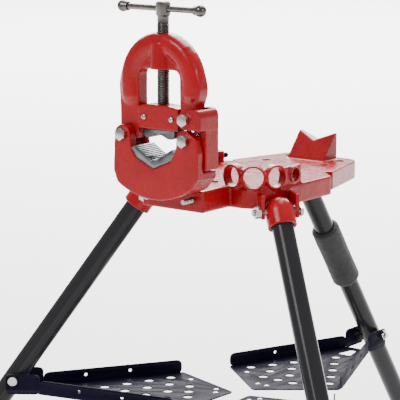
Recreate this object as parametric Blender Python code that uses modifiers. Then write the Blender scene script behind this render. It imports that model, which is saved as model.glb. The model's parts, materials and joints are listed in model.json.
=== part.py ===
"""Folding tripod pipe stand with a yoke pipe vise.

Metres, +Z up.  The floor is z = 0 and the stand is centred on x = 0.  The pipe lies
along Y: the vise is at the -Y end of the table and the V rest is at the +Y end.
"""
import math

import bmesh
import bpy
from mathutils import Matrix, Vector

# ---------------------------------------------------------------- driving dimensions
OBJECT_NAME = "tripod_pipe_vise"
GAP = 0.0004              # clearance between solids that touch
DECK_Z = 0.700            # top of the table
VISE_Y = -0.342592        # axis of the vise screw; it centres the stand on y = 0
BOLT_Z = DECK_Z + 0.0854  # level of the two lower vise bolts

PAN_HALF = 0.121          # half-width of the table
PAN_FRONT = VISE_Y + 0.088
PAN_REAR = VISE_Y + 0.300
TAIL_HALF = 0.100
TAIL_END_HALF = 0.072
TAIL_REAR = VISE_Y + 0.428
CORNER = 0.050            # radius of the table's front corners
PAN_DEPTH = 0.030
WALL = 0.008
RIM_RISE = 0.008

CENTRE_Y = VISE_Y + 0.208  # centre of the tripod
PIVOT_RADIUS = 0.160
PIVOT_Z = DECK_Z - 0.032
SPLAY = math.radians(35.0)
LEG_ANGLES = {"left": math.radians(215.2), "right": math.radians(-35.2), "rear": math.radians(90.0)}
TUBE_RADIUS = 0.0167
TUBE_BORE = 0.0135
SOCKET_RADIUS = 0.0225
SOCKET_LENGTH = 0.026
PIVOT_BOLT = 0.005
FOOT_RADIUS = 0.022
FOOT_HEIGHT = 0.055
FOOT_SOLE = 0.024         # rubber below the tube, before the sole is cut level
GRIP_RADIUS = 0.0235

LEAF_PIN_DROP = 0.376     # from a leg's pivot to its leaf pin, along the leg
LEAF_SPAN = 0.3560        # from the pin to the leaf's inner point
LEAF_FLOOR_DROP = 0.020   # from the pin down to the leaf's floor
LEAF_NECK = 0.0225        # half-width between the flanges at the leg
LEAF_HALF = 0.112         # half-width where the leaf is widest
LEAF_POINT = math.radians(52.0)  # angle between the leaf's middle and its inner edges
SHEET = 0.003
FLANGE = 0.022
PIN_RADIUS = 0.004

BOLT_RADIUS = 0.0055
BOLT_X = 0.059
PLATE_FRONT = VISE_Y - 0.026
PLATE_BACK = VISE_Y + 0.020
SLOT_HALF = 0.0116
YOKE_HALF_DEPTH = 0.011
YOKE_TOP = BOLT_Z + 0.141
OPENING_HALF = 0.039
OPENING_TOP = BOLT_Z + 0.100
OPENING_CORNER = 0.012
HOOK_X = 0.060
HOOK_Z = BOLT_Z + 0.031
CARRIAGE_LOW = BOLT_Z + 0.010
CARRIAGE_TOP = BOLT_Z + 0.044
JAW_SCREW_X = 0.026
JAW_SCREW_Z = BOLT_Z + 0.0275
SCREW_RADIUS = 0.0095
HUB_LOW = BOLT_Z + 0.178
HUB_TOP = BOLT_Z + 0.199
HUB_RADIUS = 0.011
HANDLE_Z = BOLT_Z + 0.189
HANDLE_HALF = 0.076
HANDLE_OFFSET = -0.004
HANDLE_TURN = math.radians(-2.8)
BAR_RADIUS = 0.00475
BALL_RADIUS = 0.009

# ---------------------------------------------------------------- scene and materials
for old in list(bpy.data.objects):
    bpy.data.objects.remove(old, do_unlink=True)
PARTS = bpy.data.collections.new(OBJECT_NAME)
CUTTERS = bpy.data.collections.new("cutters")
bpy.context.scene.collection.children.link(PARTS)
bpy.context.scene.collection.children.link(CUTTERS)


def finish_material(name, colour, roughness, metallic):
    material = bpy.data.materials.new(name)
    material.use_nodes = True
    shader = material.node_tree.nodes["Principled BSDF"]
    shader.inputs["Base Color"].default_value = (*colour, 1.0)
    shader.inputs["Roughness"].default_value = roughness
    shader.inputs["Metallic"].default_value = metallic
    return material


RED = finish_material("red_paint", (0.42, 0.025, 0.028), 0.32, 0.0)
BLACK = finish_material("black_gloss", (0.012, 0.012, 0.014), 0.22, 0.0)
SHEET_BLACK = finish_material("black_sheet", (0.014, 0.014, 0.020), 0.38, 0.0)
ZINC = finish_material("zinc", (0.62, 0.63, 0.64), 0.30, 1.0)
STEEL = finish_material("bare_steel", (0.40, 0.38, 0.36), 0.33, 1.0)
JAW_STEEL = finish_material("jaw_steel", (0.09, 0.09, 0.10), 0.45, 0.8)
FOAM = finish_material("foam", (0.020, 0.020, 0.021), 0.95, 0.0)
RUBBER = finish_material("rubber", (0.018, 0.018, 0.018), 0.8, 0.0)


# ---------------------------------------------------------------- shape helpers
def add_object(name, mesh, material=None):
    """Link a mesh as a part, or as a cutter when it has no material."""
    obj = bpy.data.objects.new(name, mesh)
    if material is None:
        CUTTERS.objects.link(obj)
        obj.hide_render = True
        obj.display_type = "WIRE"
    else:
        PARTS.objects.link(obj)
        mesh.materials.append(material)
    return obj


def mesh_from(bm, name, smooth=True):
    mesh = bpy.data.meshes.new(name)
    bm.to_mesh(mesh)
    bm.free()
    if smooth:
        mesh.shade_smooth()
        mesh.set_sharp_from_angle(angle=math.radians(35.0))
    return mesh


def box(name, low, high, material=None, turn=None):
    """A box between two corners, or the same box carried by the matrix `turn`."""
    low, high = Vector(low), Vector(high)
    bm = bmesh.new()
    place = Matrix.Translation((low + high) / 2) @ Matrix.Diagonal((*(high - low), 1.0))
    bmesh.ops.create_cube(bm, size=1.0, matrix=place)
    if turn is not None:
        bmesh.ops.transform(bm, matrix=turn, verts=bm.verts)
    return add_object(name, mesh_from(bm, name, smooth=False), material)


def rod(name, start, end, radius, material=None, radius_end=None, sides=24):
    """A cylinder or cone from start to end."""
    start, end = Vector(start), Vector(end)
    along = end - start
    bm = bmesh.new()
    place = Matrix.Translation((start + end) / 2) @ along.to_track_quat("Z", "Y").to_matrix().to_4x4()
    last = radius if radius_end is None else radius_end
    bmesh.ops.create_cone(bm, cap_ends=True, segments=sides, radius1=radius, radius2=last,
                          depth=along.length, matrix=place)
    return add_object(name, mesh_from(bm, name), material)


def ball(name, centre, radius, material=None):
    bm = bmesh.new()
    place = Matrix.Translation(centre) @ Matrix.Rotation(0.11, 4, "Z") @ Matrix.Rotation(0.07, 4, "X")
    bmesh.ops.create_uvsphere(bm, u_segments=20, v_segments=12, radius=radius, matrix=place)
    return add_object(name, mesh_from(bm, name), material)


def turned(name, profile, place, material, closed=False):
    """A solid of revolution about the Z axis of `place`; the profile is (radius, height)."""
    bm = bmesh.new()
    verts = [bm.verts.new((x, 0.0, z)) for x, z in profile]
    ends = verts[1:] + verts[:1] if closed else verts[1:]
    for first, second in zip(verts, ends):
        bm.edges.new((first, second))
    obj = add_object(name, mesh_from(bm, name), material)
    obj.matrix_world = place
    turn = obj.modifiers.new("turn", "SCREW")
    turn.axis = "Z"
    turn.steps = 32
    turn.render_steps = 32
    turn.use_merge_vertices = True
    turn.merge_threshold = 0.00005
    turn.use_normal_calculate = closed
    return obj


def prism(name, outline, thickness, place, material=None):
    """A flat outline, extruded by its thickness about its own plane, then placed."""
    curve = bpy.data.curves.new(name + "_outline", "CURVE")
    curve.dimensions = "2D"
    curve.fill_mode = "BOTH"
    curve.extrude = thickness / 2
    spline = curve.splines.new("POLY")
    spline.points.add(len(outline) - 1)
    for point, (u, v) in zip(spline.points, outline):
        point.co = (u, v, 0.0, 1.0)
    spline.use_cyclic_u = True
    guide = bpy.data.objects.new(name + "_guide", curve)
    CUTTERS.objects.link(guide)
    bpy.context.view_layer.update()
    evaluated = guide.evaluated_get(bpy.context.evaluated_depsgraph_get())
    mesh = bpy.data.meshes.new_from_object(evaluated)
    bpy.data.objects.remove(guide, do_unlink=True)
    bm = bmesh.new()
    bm.from_mesh(mesh)
    bmesh.ops.remove_doubles(bm, verts=bm.verts, dist=0.00001)
    bmesh.ops.dissolve_limit(bm, angle_limit=math.radians(0.5), verts=bm.verts, edges=bm.edges)
    bmesh.ops.transform(bm, matrix=place, verts=bm.verts)
    bmesh.ops.recalc_face_normals(bm, faces=bm.faces)
    bm.to_mesh(mesh)
    bm.free()
    mesh.materials.clear()
    mesh.shade_smooth()
    mesh.set_sharp_from_angle(angle=math.radians(35.0))
    return add_object(name, mesh, material)


def arc(cx, cy, radius, start, end, steps=8):
    """Points on an arc, angles in degrees."""
    points = []
    for i in range(steps + 1):
        angle = math.radians(start + (end - start) * i / steps)
        points.append((cx + radius * math.cos(angle), cy + radius * math.sin(angle)))
    return points


def upright(y_low, y_high):
    """Places an (x, z) outline so that it runs from y_low to y_high."""
    return Matrix.Translation((0, (y_low + y_high) / 2, 0)) @ Matrix.Rotation(math.pi / 2, 4, "X")


def level(z_low, z_high):
    return Matrix.Translation((0, 0, (z_low + z_high) / 2))


def boolean(target, other, operation):
    if other.name in PARTS.objects:
        PARTS.objects.unlink(other)
        CUTTERS.objects.link(other)
    modifier = target.modifiers.new(other.name, "BOOLEAN")
    modifier.operation = operation
    modifier.solver = "EXACT"
    modifier.object = other
    return target


def join(target, *others):
    for other in others:
        boolean(target, other, "UNION")


def cut(target, *others):
    for other in others:
        boolean(target, other, "DIFFERENCE")


def hex_bolt(name, head_end, tip, head_across, head_height, radius, material=ZINC):
    """A bolt whose hexagonal head starts at head_end and whose shank ends at tip."""
    head_end, tip = Vector(head_end), Vector(tip)
    along = (tip - head_end).normalized()
    seat = head_end + along * head_height
    bolt = rod(name, head_end, seat, head_across / math.sqrt(3.0), material, sides=6)
    join(bolt, rod(name + "_shank", seat - along * head_height / 2, tip, radius, sides=20))
    return bolt


def hex_nut(name, start, end, across, bore, material=ZINC):
    nut = rod(name, start, end, across / math.sqrt(3.0), material, sides=6)
    start, end = Vector(start), Vector(end)
    reach = (end - start) * 0.2
    cut(nut, rod(name + "_bore", start - reach, end + reach, bore, sides=20))
    return nut


# ---------------------------------------------------------------- table
def table_outline(inset):
    """Plan of the table, moved inwards by inset."""
    half = PAN_HALF - inset
    tail = TAIL_HALF - inset
    corner = CORNER - inset
    rear = TAIL_REAR - inset
    rear_corner = 0.020 - inset / 2
    step = PAN_REAR - inset
    right = arc(PAN_HALF - CORNER, PAN_FRONT + CORNER, corner, -90, 0)
    right += [(half, step - 0.030), (tail - 0.012, step), (tail, step + 0.004)]
    end_half = TAIL_END_HALF - inset
    right += arc(end_half - rear_corner, rear - rear_corner, rear_corner, 10, 90, 5)
    left = [(-x, y) for x, y in reversed(right)]
    return right + left


POCKET_RISE = 0.018
POCKET_RADIUS = 0.0155
POCKET_LIP = 0.0037
WALL_RISE = 0.030


def pocket_positions():
    """Bender pockets round the table's front right corner: centre, outward direction, radius."""
    places = []
    for angle in (-101.0, -59.0, -17.0):
        out = Vector((math.cos(math.radians(angle)), math.sin(math.radians(angle)), 0.0))
        centre = Vector((PAN_HALF - CORNER, PAN_FRONT + CORNER, DECK_Z + POCKET_RISE)) + out * CORNER
        places.append((centre, out, POCKET_RADIUS))
    side = Vector((PAN_HALF, PAN_FRONT + CORNER + 0.031, DECK_Z + POCKET_RISE - 0.0013))
    places.append((side, Vector((1.0, 0.0, 0.0)), 0.0096))
    return places


def pocket_wall():
    """Raised wall that carries the pockets round the corner and along the right side."""
    cx, cy = PAN_HALF - CORNER, PAN_FRONT + CORNER
    outer, inner = CORNER - 0.0019, CORNER - 0.0113
    end = cy + 0.052
    outline = arc(cx, cy, outer, -122, 0, 14) + [(cx + outer, end), (cx + inner, end)]
    outline += arc(cx, cy, inner, 0, -122, 14)
    return prism("pocket_wall", outline, WALL_RISE + 0.0037, level(DECK_Z - 0.0037, DECK_Z + WALL_RISE))


def table_casting():
    deck_low = DECK_Z - PAN_DEPTH
    table = prism("table_casting", table_outline(0.0), PAN_DEPTH, level(deck_low, DECK_Z), RED)
    cut(table, prism("table_hollow", table_outline(WALL), PAN_DEPTH, level(deck_low - WALL, DECK_Z - WALL)))
    rim = [box("rim_left", (-PAN_HALF + 0.0021, PAN_FRONT + CORNER + 0.0013, DECK_Z - 0.0041),
               (-PAN_HALF + 0.0085, PAN_REAR - 0.0347, DECK_Z + RIM_RISE)),
           box("rim_front", (-PAN_HALF + CORNER + 0.0017, PAN_FRONT + 0.0019, DECK_Z - 0.0043),
               (0.030, PAN_FRONT + 0.0083, DECK_Z + RIM_RISE))]
    join(table, *rim, pocket_wall())
    for i, (centre, out, radius) in enumerate(pocket_positions()):
        join(table, rod(f"pocket_boss_{i}", centre - out * 0.0132, centre + out * 0.0031,
                        radius + POCKET_LIP, sides=28))
    for i, (centre, out, radius) in enumerate(pocket_positions()):
        cut(table, rod(f"pocket_bore_{i}", centre - out * 0.018, centre + out * 0.010, radius, sides=28))
    join(table, box("neck", (-0.058, PLATE_BACK + GAP, DECK_Z - 0.0295),
                    (0.058, PAN_FRONT + 0.004, DECK_Z + 0.004)))
    join(table, rest_block())
    join(table, box("brace_lug", (-0.1013, VISE_Y + 0.255, DECK_Z - 0.0035),
                    (-0.087, VISE_Y + 0.267, DECK_Z + 0.020)))
    for i, (x, y) in enumerate(((-0.052, 0.335), (0.052, 0.352), (-0.050, 0.400), (0.050, 0.400))):
        spot = Vector((x, VISE_Y + y, DECK_Z))
        cut(table, rod(f"table_hole_{i}", spot - Vector((0, 0, 0.02)), spot + Vector((0, 0, 0.02)), 0.008))
    for leg in LEG_ANGLES:
        join(table, *leg_lugs(leg))
    for leg in LEG_ANGLES:
        cut(table, *leg_room(leg))
    cut(table, rod("brace_bore", (-0.094, VISE_Y + 0.24, DECK_Z + 0.011),
                   (-0.094, VISE_Y + 0.29, DECK_Z + 0.011), 0.0045))
    for x in (-0.036, 0.036):
        cut(table, rod(f"neck_bore_{x}", (x, PLATE_BACK - 0.01, DECK_Z - 0.012),
                       (x, VISE_Y + 0.0465, DECK_Z - 0.012), 0.0045))
        cut(table, rod(f"neck_pocket_{x}", (x, VISE_Y + 0.046, DECK_Z - 0.012),
                       (x, PAN_FRONT + 0.02, DECK_Z - 0.012), 0.009))
    return table


def rest_block():
    """The V rest: a wedge with a sloping front, a flat back and a V in its top."""
    half, height, depth = 0.0353, 0.044, 0.042
    front = VISE_Y + 0.372
    outline = [(front, DECK_Z - 0.0046), (front + depth, DECK_Z - 0.0046), (front + depth, DECK_Z + height),
               (front + depth - 0.008, DECK_Z + height), (front, DECK_Z + 0.002)]
    side = Matrix.Rotation(math.pi / 2, 4, "Z") @ Matrix.Rotation(math.pi / 2, 4, "X")
    block = prism("v_rest", outline, 2 * half, side)
    wide = half + 0.006
    notch = [(0.0, DECK_Z + height - 0.0137), (wide, DECK_Z + height + 0.0024),
             (wide, DECK_Z + height + 0.02),
             (-wide, DECK_Z + height + 0.02), (-wide, DECK_Z + height + 0.0024)]
    cut(block, prism("v_rest_notch", notch, 0.2, upright(VISE_Y + 0.3, VISE_Y + 0.5)))
    return block


# ---------------------------------------------------------------- legs
def leg_axes(leg):
    """Pivot point, direction down the leg, and the pivot's axis."""
    angle = LEG_ANGLES[leg]
    out = Vector((math.cos(angle), math.sin(angle), 0.0))
    pivot = Vector((0.0, CENTRE_Y, PIVOT_Z)) + out * PIVOT_RADIUS
    down = out * math.sin(SPLAY) - Vector((0, 0, math.cos(SPLAY)))
    across = Vector((-out.y, out.x, 0.0))
    return pivot, down, across


def leg_frame(leg):
    """Matrix from (outward, across, up) at the pivot to the world."""
    pivot = leg_axes(leg)[0]
    angle = LEG_ANGLES[leg]
    return Matrix.Translation(pivot) @ Matrix.Rotation(angle, 4, "Z")


def leg_lugs(leg):
    """Two lugs that hang from the table on both sides of a leg's socket."""
    turn = leg_frame(leg)
    top = DECK_Z - 0.0055 - PIVOT_Z
    lugs = []
    for side in (-1, 1):
        near, far = SOCKET_RADIUS + 0.0014, SOCKET_RADIUS + 0.0080
        low = (-0.034, min(side * near, side * far), -0.011)
        high = (0.006, max(side * near, side * far), top)
        lugs.append(box(f"lug_{leg}_{side}", low, high, turn=turn))
    return lugs


def leg_room(leg):
    """Cutters that leave room for the socket, the tube and the pivot bolt."""
    pivot, down, across = leg_axes(leg)
    room = SOCKET_RADIUS + 0.0008
    reach = across * 0.036
    return (ball(f"socket_room_{leg}", pivot, room + 0.0004),
            rod(f"socket_way_{leg}", pivot, pivot + down * 0.06, room, sides=32),
            rod(f"bolt_room_{leg}", pivot - reach, pivot + reach, PIVOT_BOLT + 0.0003, sides=18))


def leg_pieces(leg):
    pivot, down, across = leg_axes(leg)
    floor_reach = pivot.z / math.cos(SPLAY)
    tube_top, tube_end = pivot + down * 0.012, pivot + down * (floor_reach - FOOT_SOLE)
    socket = rod(f"leg_socket_{leg}", pivot, pivot + down * SOCKET_LENGTH, SOCKET_RADIUS, RED, sides=32)
    join(socket, ball(f"socket_end_{leg}", pivot, SOCKET_RADIUS))
    cut(socket, rod(f"socket_bore_{leg}", pivot + down * (0.012 - GAP), pivot + down * 0.06,
                    TUBE_RADIUS + GAP, sides=32))
    cut(socket, rod(f"socket_pin_{leg}", pivot - across * 0.03, pivot + across * 0.03,
                    PIVOT_BOLT + 0.0003, sides=20))
    tube = rod(f"leg_tube_{leg}", tube_top, tube_end, TUBE_RADIUS, BLACK, sides=32)
    cut(tube, rod(f"tube_bore_{leg}", tube_top - down * 0.01, tube_end + down * 0.01, TUBE_BORE, sides=24))
    pin = pivot + down * LEAF_PIN_DROP
    cut(tube, rod(f"tube_pin_bore_{leg}", pin - across * 0.03, pin + across * 0.03, PIN_RADIUS + 0.0003,
                  sides=16))
    foot_top = pivot + down * (floor_reach - FOOT_HEIGHT)
    foot_low = pivot + down * (floor_reach + FOOT_SOLE)
    foot = rod(f"foot_{leg}", foot_top, foot_low, TUBE_RADIUS + 0.003, RUBBER, radius_end=FOOT_RADIUS,
               sides=28)
    cut(foot, rod(f"foot_bore_{leg}", foot_top - down * 0.01, tube_end + down * GAP, TUBE_RADIUS + GAP,
                  sides=32))
    sole = foot_low.copy()
    sole.z = 0.0
    cut(foot, box(f"floor_{leg}", sole - Vector((0.06, 0.06, 0.06)), sole + Vector((0.06, 0.06, 0.0))))
    head, tip = pivot + across * 0.0369, pivot - across * 0.0440
    hex_bolt(f"leg_bolt_{leg}", head, tip, 0.016, 0.006, PIVOT_BOLT)
    nut_start = pivot - across * 0.0309
    hex_nut(f"leg_nut_{leg}", nut_start, nut_start - across * 0.009, 0.017, PIVOT_BOLT + 0.0003)


def foam_grip():
    pivot, down, _ = leg_axes("rear")
    start, end = pivot + down * 0.112, pivot + down * 0.236
    chamfer = 0.004
    length = (end - start).length
    bore = TUBE_RADIUS + GAP
    profile = [(bore, 0.0), (bore, length), (GRIP_RADIUS - chamfer, length),
               (GRIP_RADIUS, length - chamfer),
               (GRIP_RADIUS, chamfer), (GRIP_RADIUS - chamfer, 0.0)]
    place = Matrix.Translation(start) @ down.to_track_quat("Z", "Y").to_matrix().to_4x4()
    turned("foam_grip", profile, place, FOAM, closed=True)


# ---------------------------------------------------------------- folding tray
def leaf_frame(leg):
    """Matrix from leaf axes (inward, across, up) at its pin to the world."""
    pivot, down, _ = leg_axes(leg)
    pin = pivot + down * LEAF_PIN_DROP
    return Matrix.Translation(pin) @ Matrix.Rotation(LEG_ANGLES[leg] + math.pi, 4, "Z")


def leaf_half_width(reach):
    """Inner half-width of the leaf at a distance inward of the pin."""
    widest = LEAF_SPAN - LEAF_HALF / math.tan(LEAF_POINT)
    start = 0.045
    if reach < start:
        return LEAF_NECK
    return LEAF_NECK + (LEAF_HALF - LEAF_NECK) * (reach - start) / (widest - start)


def tray_leaf(leg):
    turn = leaf_frame(leg)
    floor_low = -LEAF_FLOOR_DROP - SHEET
    widest = LEAF_SPAN - LEAF_HALF / math.tan(LEAF_POINT)
    start = 0.040
    half = leaf_half_width
    outline = [(start, -half(start)), (widest, -LEAF_HALF), (LEAF_SPAN, 0.0), (widest, LEAF_HALF),
               (start, half(start))]
    leaf = prism(f"tray_leaf_{leg}", outline, SHEET, turn @ level(floor_low, -LEAF_FLOOR_DROP), SHEET_BLACK)
    for side in (-1, 1):
        edge = [(0.045, side * half(0.0)), (widest, side * LEAF_HALF), (widest, side * (LEAF_HALF + SHEET)),
                (0.045, side * (half(0.0) + SHEET))]
        wall = prism(f"flange_{leg}_{side}", edge, FLANGE, turn @ level(floor_low, floor_low + FLANGE))
        ear = prism(f"ear_{leg}_{side}", [(-0.011, side * half(0.0)), (0.047, side * half(0.0)),
                    (0.047, side * (half(0.0) + SHEET)), (-0.011, side * (half(0.0) + SHEET))],
                    0.034, turn @ level(floor_low, floor_low + 0.034))
        join(leaf, ear, wall)
    for i, (reach, across) in enumerate(((0.15, 0.0), (0.20, -0.035), (0.20, 0.035), (0.25, 0.0),
                                         (0.27, -0.060), (0.27, 0.060))):
        spot = turn @ Vector((reach, across, -LEAF_FLOOR_DROP))
        cut(leaf, rod(f"leaf_hole_{leg}_{i}", spot - Vector((0, 0, 0.01)), spot + Vector((0, 0, 0.01)),
                      0.008, sides=16))
    near = turn @ Vector((0, -0.04, 0))
    far = turn @ Vector((0, 0.04, 0))
    cut(leaf, rod(f"leaf_pin_bore_{leg}", near, far, PIN_RADIUS + 0.0003, sides=16))


def leaf_hardware(leg):
    turn = leaf_frame(leg)
    outer = LEAF_NECK + SHEET + GAP
    pin = rod(f"leaf_pin_{leg}", turn @ Vector((0, -outer - 0.003, 0)),
              turn @ Vector((0, outer + 0.008, 0)),
              PIN_RADIUS, ZINC, sides=16)
    join(pin, rod(f"leaf_pin_head_{leg}", turn @ Vector((0, -outer - 0.003, 0)),
                  turn @ Vector((0, -outer, 0)), 0.0075, sides=16))
    hex_nut(f"pin_retainer_{leg}", turn @ Vector((0, outer, 0)), turn @ Vector((0, outer + 0.0045, 0)),
            0.014,
            PIN_RADIUS + 0.0003)


# ---------------------------------------------------------------- vise
def plate_outline():
    """Front outline of the vise body as (x, z)."""
    ear = 0.0148
    points = arc(-BOLT_X, BOLT_Z, ear, 20, 180)
    points += [(-0.0765, BOLT_Z - 0.055), (-0.0700, BOLT_Z - 0.072)]
    points += arc(0.0, BOLT_Z - 0.094 + 0.127, 0.127, 237, 303, 14)
    points += [(0.0835, BOLT_Z - 0.056), (0.0845, BOLT_Z - 0.016)]
    points += [(0.0800, BOLT_Z + 0.004)]
    points += arc(BOLT_X, BOLT_Z, ear, 45, 160)
    points += arc(0.0, BOLT_Z - 0.004, 0.0440, -5, -42, 5)
    points += [(0.0, BOLT_Z - 0.0475)]
    points += arc(0.0, BOLT_Z - 0.004, 0.0440, 222, 185, 5)
    return points


def vise_body():
    outline = plate_outline()
    body = prism("vise_body", outline, PLATE_BACK - PLATE_FRONT, upright(PLATE_FRONT, PLATE_BACK), RED)
    low = BOLT_Z - 0.0205
    cut(body, box("left_slot", (-0.12, VISE_Y - SLOT_HALF, low),
                  (-0.0375, VISE_Y + SLOT_HALF, BOLT_Z + 0.05)))
    cut(body, box("right_slot", (0.0375, VISE_Y - SLOT_HALF, low),
                  (0.12, VISE_Y + SLOT_HALF, BOLT_Z + 0.05)))
    cut(body, box("hook_recess", (0.0745, VISE_Y - 0.012, BOLT_Z - 0.046),
                  (0.12, VISE_Y + 0.03, BOLT_Z + 0.05)))
    for side in (-1, 1):
        cut(body, rod(f"body_bolt_bore_{side}", (side * BOLT_X, PLATE_FRONT - 0.01, BOLT_Z),
                      (side * BOLT_X, PLATE_BACK + 0.01, BOLT_Z), BOLT_RADIUS + 0.0003, sides=20))
    for x in (-0.036, 0.036):
        cut(body, rod(f"body_bore_{x}", (x, VISE_Y - 0.002, DECK_Z - 0.012),
                      (x, PLATE_BACK + 0.01, DECK_Z - 0.012), 0.0045))
    return body


def lower_jaw():
    """V block with a toothed top; it lies in the seat between the two ears."""
    centre = BOLT_Z - 0.004
    rise = 0.0435
    outline = [(-0.0345, BOLT_Z - 0.0155)]
    outline += [(-0.0030, BOLT_Z - 0.0345), (-0.0030, BOLT_Z - 0.0400), (0.0030, BOLT_Z - 0.0400),
                (0.0030, BOLT_Z - 0.0345), (0.0345, BOLT_Z - 0.0155)]
    outline += arc(0.0, centre, rise, -20, -41, 4)
    outline += [(0.0, BOLT_Z - 0.0466)]
    outline += arc(0.0, centre, rise, 221, 200, 4)
    jaw = prism("lower_jaw", outline, 0.044, upright(PLATE_FRONT + 0.001, PLATE_BACK - 0.001), JAW_STEEL)
    return jaw


def vise_bolts():
    front, back = PLATE_FRONT - GAP, PLATE_BACK + GAP
    for name, x in (("yoke_hinge_bolt", -BOLT_X), ("catch_bolt", BOLT_X)):
        hex_bolt(name, (x, front - 0.007, BOLT_Z), (x, back + 0.008, BOLT_Z), 0.0165, 0.007, BOLT_RADIUS)
        hex_nut(name.replace("bolt", "nut"), (x, back, BOLT_Z), (x, back + 0.006, BOLT_Z), 0.0165,
                BOLT_RADIUS + 0.0003)
    hex_bolt("hook_bolt", (HOOK_X, front - 0.007, HOOK_Z), (HOOK_X, back + 0.008, HOOK_Z), 0.0165,
             0.007, BOLT_RADIUS)
    hex_nut("hook_nut", (HOOK_X, back, HOOK_Z), (HOOK_X, back + 0.006, HOOK_Z), 0.0165,
            BOLT_RADIUS + 0.0003)
    for name, x in (("mount_screw_left", -0.036), ("mount_screw_right", 0.036)):
        hex_bolt(name, (x, VISE_Y + 0.0525, DECK_Z - 0.012), (x, VISE_Y + 0.0, DECK_Z - 0.012), 0.013,
                 0.0055, 0.0042)


def yoke():
    """Inverted U with a nut boss on top; its left leg turns on the hinge bolt."""
    left_end = arc(-BOLT_X, BOLT_Z, 0.0155, 180, 345, 10)
    right_end = [(OPENING_HALF + 0.001, BOLT_Z + 0.020), (0.052, BOLT_Z + 0.0165),
                 (0.066, BOLT_Z + 0.0165), (0.0700, BOLT_Z + 0.022)]
    outline = left_end + [(-OPENING_HALF, BOLT_Z + 0.004)]
    outline += arc(-OPENING_HALF + OPENING_CORNER, OPENING_TOP - OPENING_CORNER, OPENING_CORNER, 180, 90, 6)
    outline += arc(OPENING_HALF - OPENING_CORNER, OPENING_TOP - OPENING_CORNER, OPENING_CORNER, 90, 0, 6)
    outline += right_end
    outline += [(0.0700, BOLT_Z + 0.050), (0.0755, BOLT_Z + 0.066)]
    outline += arc(0.0, BOLT_Z + 0.068, 0.0765, 5, 80, 14)
    outline += arc(0.0, BOLT_Z + 0.068, 0.0765, 100, 178, 14)
    outline += [(-0.0745, BOLT_Z + 0.040)]
    piece = prism("yoke", outline, 2 * YOKE_HALF_DEPTH,
                  upright(VISE_Y - YOKE_HALF_DEPTH, VISE_Y + YOKE_HALF_DEPTH), RED)
    join(piece, rod("nut_boss", (0, VISE_Y, OPENING_TOP - 0.001), (0, VISE_Y, YOKE_TOP), 0.0195,
                    radius_end=0.0165, sides=32))
    cut(piece, rod("nut_bore", (0, VISE_Y, OPENING_TOP - 0.02), (0, VISE_Y, YOKE_TOP + 0.02),
                   SCREW_RADIUS + GAP, sides=32))
    for i, (x, z) in enumerate(((-BOLT_X, BOLT_Z), (HOOK_X, HOOK_Z))):
        cut(piece, rod(f"yoke_bore_{i}", (x, VISE_Y - 0.03, z), (x, VISE_Y + 0.03, z),
                       BOLT_RADIUS + 0.0003, sides=20))


def hook():
    """Latch: two cheeks on the hook bolt, joined by a web down the outside of the yoke."""
    cheek = arc(HOOK_X, HOOK_Z, 0.0148, 150, 275, 8)
    cheek += [(0.0740, BOLT_Z + 0.0162), (0.0885, BOLT_Z + 0.0162), (0.0885, BOLT_Z + 0.036)]
    cheek += arc(0.0765, BOLT_Z + 0.036, 0.0120, 15, 90, 5) + [(0.0600, BOLT_Z + 0.0462)]
    piece = prism("hook", cheek, 0.046, upright(PLATE_FRONT, PLATE_BACK), RED)
    cut(piece, box("hook_room", (0.02, VISE_Y - SLOT_HALF, BOLT_Z),
                   (0.0745, VISE_Y + SLOT_HALF, BOLT_Z + 0.1)))
    ramp = [(0.0730, BOLT_Z + 0.031), (0.0730, BOLT_Z + 0.06), (0.0835, BOLT_Z + 0.06),
            (0.0810, BOLT_Z + 0.0440)]
    half = SLOT_HALF - 0.0002
    cut(piece, prism("hook_ramp", ramp, 2 * half, upright(VISE_Y - half, VISE_Y + half)))
    join(piece, box("hook_web", (0.0760, VISE_Y - 0.0112, BOLT_Z - 0.043),
                    (0.0882, PLATE_BACK - 0.0003, BOLT_Z + 0.020)))
    cut(piece, rod("hook_bore", (HOOK_X, PLATE_FRONT - 0.01, HOOK_Z), (HOOK_X, PLATE_BACK + 0.01, HOOK_Z),
                   BOLT_RADIUS + 0.0003, sides=20))


def carriage():
    """Upper jaw holder that slides between the yoke's legs."""
    half = OPENING_HALF - 0.0006
    outline = [(-half, CARRIAGE_LOW), (half, CARRIAGE_LOW)]
    outline += arc(0.0, CARRIAGE_TOP - 0.200, 0.2035, 79.2, 100.8, 8)
    piece = prism("carriage", outline, 0.028, upright(VISE_Y - 0.014, VISE_Y + 0.014), RED)
    cut(piece, rod("swivel_bore", (0, VISE_Y, CARRIAGE_LOW + 0.018), (0, VISE_Y, CARRIAGE_TOP + 0.02),
                   0.0064, sides=24))
    cut(piece, box("tongue_room", (-0.034, VISE_Y - 0.0044, CARRIAGE_LOW - 0.01),
                   (-0.012, VISE_Y + 0.0044, BOLT_Z + 0.036)))
    cut(piece, box("tongue_room_2", (0.012, VISE_Y - 0.0044, CARRIAGE_LOW - 0.01),
                   (0.034, VISE_Y + 0.0044, BOLT_Z + 0.036)))
    for side in (-1, 1):
        cut(piece, rod(f"jaw_screw_bore_{side}", (side * JAW_SCREW_X, VISE_Y - 0.02, JAW_SCREW_Z),
                       (side * JAW_SCREW_X, VISE_Y + 0.008, JAW_SCREW_Z), 0.0028, sides=16))


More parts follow.
